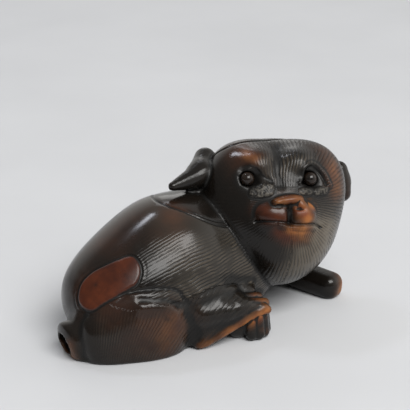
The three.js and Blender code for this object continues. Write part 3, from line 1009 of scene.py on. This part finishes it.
def stained_boxwood():
    """Boxwood under dark stain and polish, rubbed to orange where hands reach it."""
    wood = Surface("stained_boxwood")
    across, depth, tuft = wood.values("stroke")
    worn, hollow, patch = wood.values("wear_and_shade")
    brown, pale, painted_sheen = wood.values("tone_and_sheen")

    # Hair: grooves at an even pitch that wander a little and break off here and there.
    wander = wood.times(wood.noise(260.0, 2.0), 0.6)
    shake = wood.times(wood.noise(1300.0, 1.0), 0.16)
    phase = wood.maths("DIVIDE", wood.plus(across, wander, shake), HAIR_PITCH)
    wave = wood.maths("SINE", wood.times(phase, math.tau))
    groove = wood.maths("POWER", wood.times(wood.maths("SUBTRACT", 1.0, wave), 0.5), 2.0)
    broken = wood.fade(wood.noise(620.0, 2.0), 0.34, 0.58, 0.15)
    cut_depth = wood.times(groove, depth, broken)
    crest = wood.maths("POWER", wood.maths("SUBTRACT", 1.0, groove), 2.5)

    # Stain: black, thinned to brown and faded in places, with a painted sheen on the throat and far
    # cheek, paler between the strokes.
    cloud = wood.noise(110.0, 4.0, 0.6)
    black = wood.shade(cloud, 0.35, 0.7, BLACK_STAIN)
    brown_stain = wood.shade(wood.noise(240.0, 4.0, 0.6), 0.3, 0.7, BROWN_STAIN)
    colour = wood.mix(wood.times(brown, wood.fade(cloud, 0.3, 0.6, 0.35)), black, brown_stain)
    colour = wood.mix(wood.times(wood.maths("POWER", pale, 3.0), 0.55), colour, FADED_STAIN_AND_SHEEN)
    colour = wood.mix(painted_sheen, colour, PAINTED_SHEEN)
    colour = wood.mix(wood.times(crest, depth, broken, pale, 0.6), colour, STROKE_CREST)

    # Bare wood on rubbed places and sharp edges, the red patch, the tufts, and over all a darkening
    # of hollows and hair grooves, which round the eyes and along the lip parting is painted shade.
    bare_wood = wood.shade(wood.noise(420.0), 0.3, 0.7, BARE_WOOD)
    uneven = wood.fade(wood.noise(260.0), 0.3, 0.6, 0.3)
    edges = wood.times(wood.maths("MULTIPLY", hollow, -1.0, clamp=True), 0.16)
    bare = wood.maths("ADD", wood.times(worn, uneven), edges, clamp=True)
    colour = wood.mix(bare, colour, bare_wood)
    red_stain = wood.shade(wood.noise(240.0, 5.0, 0.65), 0.32, 0.68, RED_STAIN)
    colour = wood.mix(patch, colour, red_stain)
    flecks = wood.noise(2900.0, 1.0)
    colour = wood.mix(wood.times(tuft, 0.75), colour, wood.shade(flecks, 0.42, 0.62, TUFT_FLECKS))
    in_hollows = wood.maths("MULTIPLY", hollow, 0.95, clamp=True)
    grime_and_shade = wood.maths("ADD", in_hollows, wood.times(cut_depth, 0.6), clamp=True)
    colour = wood.mix(grime_and_shade, colour, GRIME_AND_SHADE)

    # Polish, duller where hollows and grooves are darkened or shade is painted, and where there is
    # hair, a tuft or bare wood.
    polish = wood.plus(wood.times(wood.noise(160.0), 0.17), 0.09)
    dull = wood.plus(wood.times(grime_and_shade, 0.25), wood.times(tuft, 0.3), wood.times(patch, 0.12),
                     wood.times(worn, 0.33), wood.times(depth, 0.1))
    rough = wood.maths("ADD", polish, dull, clamp=True)
    pores = wood.times(wood.noise(2600.0, 2.0), 0.05)
    curls = wood.times(flecks, tuft, 3.2)
    height = wood.plus(wood.maths("SUBTRACT", pores, cut_depth), curls)
    wood.set(Base_Color=colour, Roughness=rough, Normal=wood.bump(height, 1.0, GROOVE_DEPTH),
             Specular_IOR_Level=0.26, Coat_Weight=0.08, Coat_Roughness=0.08)
    return wood.material


def dark_horn():
    horn = Surface("dark_horn")
    colour = horn.shade(horn.noise(900.0), 0.35, 0.75, HORN)
    rough = horn.plus(horn.times(horn.noise(1500.0), 0.1), 0.14)
    grain = horn.bump(horn.noise(2500.0, 2.0), 0.15, GRAIN_DEPTH)
    horn.set(Base_Color=colour, Roughness=rough, Normal=grain,
             Specular_IOR_Level=0.33, Coat_Weight=0.1, Coat_Roughness=0.08)
    return horn.material


def pale_table():
    table = Surface("pale_table")
    colour = table.shade(table.noise(30.0), 0.3, 0.7, TABLE_TOP)
    table.set(Base_Color=colour, Roughness=0.75)
    return table.material


# ---- eyes, stage, light and camera -------------------------------------------------------------
# Directions are azimuth and elevation in degrees: azimuth 0 looks from -Y, and 90 from +X.

# Azimuth, elevation, distance, width, height, power and colour.
WINDOWS = {
    "high_window": (-166, 58, 0.55, 0.105, 0.055, 0.3, (0.86, 0.9, 1.0)),
    "far_window": (157, 41, 0.6, 0.16, 0.06, 0.085, (0.9, 0.93, 1.0)),
    "doorway": (151, 21, 0.6, 0.15, 0.17, 0.09, (1.0, 0.98, 0.96)),
    "front_window": (3, 50, 0.7, 0.5, 0.36, 5.3, (1.0, 0.99, 0.97)),
}
WINDOW_AIM = Vector((0, 0, 0.012))
# The room's soft light: its direction, where its edge starts and ends, and how much it adds.
ROOM_LIGHTS = [((0, 0, 1), 0.0, 0.7, 0.19), ((0.0, 0.975, 0.2), 0.8, 0.99, 0.65),
               ((0.85, -0.5, 0.1), 0.5, 0.97, 0.75), ((0.95, 0.3, 0.1), 0.2, 0.9, 0.35)]
ROOM_DIM = 0.14
ROOM_COLOUR = (1.0, 0.985, 0.955, 1)

TABLE_SIZE = 1.8
CAMERA_AIM = np.array([-3, -5.4, 17.5])
CAMERA_DIRECTION = (-30, 21)
CAMERA_DISTANCE = 0.18
CAMERA_LENS = 123.3


def make_eye(name, eye):
    """A round horn bead with its poles along the head's forward axis."""
    bpy.ops.object.select_all(action="DESELECT")
    bpy.ops.mesh.primitive_uv_sphere_add(segments=48, ring_count=32, radius=EYE_RADIUS * MM)
    bead = bpy.context.object
    bead.name = f"horn_{name}"
    centre = HEAD_CENTRE + HEAD_MATRIX @ eye
    matrix = HEAD_MATRIX @ turn_of(0, 90, 0)
    put_vertices(bead, (vertices_of(bead) - MIDDLE) @ matrix.T + centre)
    bpy.ops.object.shade_smooth()
    return bead


def make_stage():
    bpy.ops.object.select_all(action="DESELECT")
    bpy.ops.mesh.primitive_plane_add(size=TABLE_SIZE, location=(0, 0, 0))
    floor = bpy.context.object
    floor.name = "table"
    bpy.ops.object.mode_set(mode="EDIT")
    bpy.ops.mesh.subdivide(number_cuts=9)
    bpy.ops.object.mode_set(mode="OBJECT")
    floor.data.materials.append(pale_table())


def from_direction(azimuth, elevation, distance):
    a, e = math.radians(azimuth), math.radians(elevation)
    return Vector((math.sin(a) * math.cos(e), -math.cos(a) * math.cos(e), math.sin(e))) * distance


def look_at(thing, aim, azimuth, elevation, distance):
    """Stands a lamp or camera in the scene, facing its aim."""
    thing.location = aim + from_direction(azimuth, elevation, distance)
    thing.rotation_euler = (aim - thing.location).to_track_quat("-Z", "Y").to_euler()
    bpy.context.scene.collection.objects.link(thing)


def add_windows():
    for name, window in WINDOWS.items():
        azimuth, elevation, distance, width, height, power, colour = window
        data = bpy.data.lights.new(name, "AREA")
        data.shape = "RECTANGLE"
        data.size, data.size_y = width, height
        data.energy = power
        data.color = colour
        look_at(bpy.data.objects.new(name, data), WINDOW_AIM, azimuth, elevation, distance)


def add_room():
    """A dim room whose light swells softly in a few directions."""
    world = bpy.data.worlds.new("room")
    bpy.context.scene.world = world
    world.use_nodes = True
    nodes, links = world.node_tree.nodes, world.node_tree.links
    back = nodes["Background"]
    back.inputs["Color"].default_value = ROOM_COLOUR
    ways = nodes.new("ShaderNodeTexCoord")
    total = None
    for way, start, full, amount in ROOM_LIGHTS:
        lean = nodes.new("ShaderNodeVectorMath")
        lean.operation = "DOT_PRODUCT"
        lean.inputs[1].default_value = way
        swell = nodes.new("ShaderNodeMapRange")
        swell.interpolation_type = "SMOOTHSTEP"
        for socket, value in zip(swell.inputs[1:5], (start, full, 0.0, amount)):
            socket.default_value = value
        join = nodes.new("ShaderNodeMath")
        join.inputs[0].default_value = ROOM_DIM
        links.new(ways.outputs["Generated"], lean.inputs[0])
        links.new(lean.outputs["Value"], swell.inputs[0])
        links.new(swell.outputs[0], join.inputs[1])
        if total:
            links.new(total, join.inputs[0])
        total = join.outputs[0]
    links.new(total, back.inputs["Strength"])
    bpy.context.scene.view_settings.view_transform = "Standard"


def add_camera():
    data = bpy.data.cameras.new("camera")
    data.sensor_width = 36
    data.lens = CAMERA_LENS
    data.clip_start, data.clip_end = 0.01, 10
    camera = bpy.data.objects.new("camera", data)
    look_at(camera, Vector((CAMERA_AIM - MIDDLE) * MM), *CAMERA_DIRECTION, CAMERA_DISTANCE)
    bpy.context.scene.camera = camera


# ---- the finished netsuke ----------------------------------------------------------------------

puppy = make_carving()
puppy.data.materials.clear()
puppy.data.materials.append(stained_boxwood())
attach(puppy, "root")
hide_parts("puppy")

horn = dark_horn()
for node, eye in (("right_eye", RIGHT_EYE), ("left_eye", LEFT_EYE)):
    bead = make_eye(node, eye)
    bead.data.materials.append(horn)
    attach(bead, "root")
    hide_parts(node)

make_stage()
add_windows()
add_room()
add_camera()
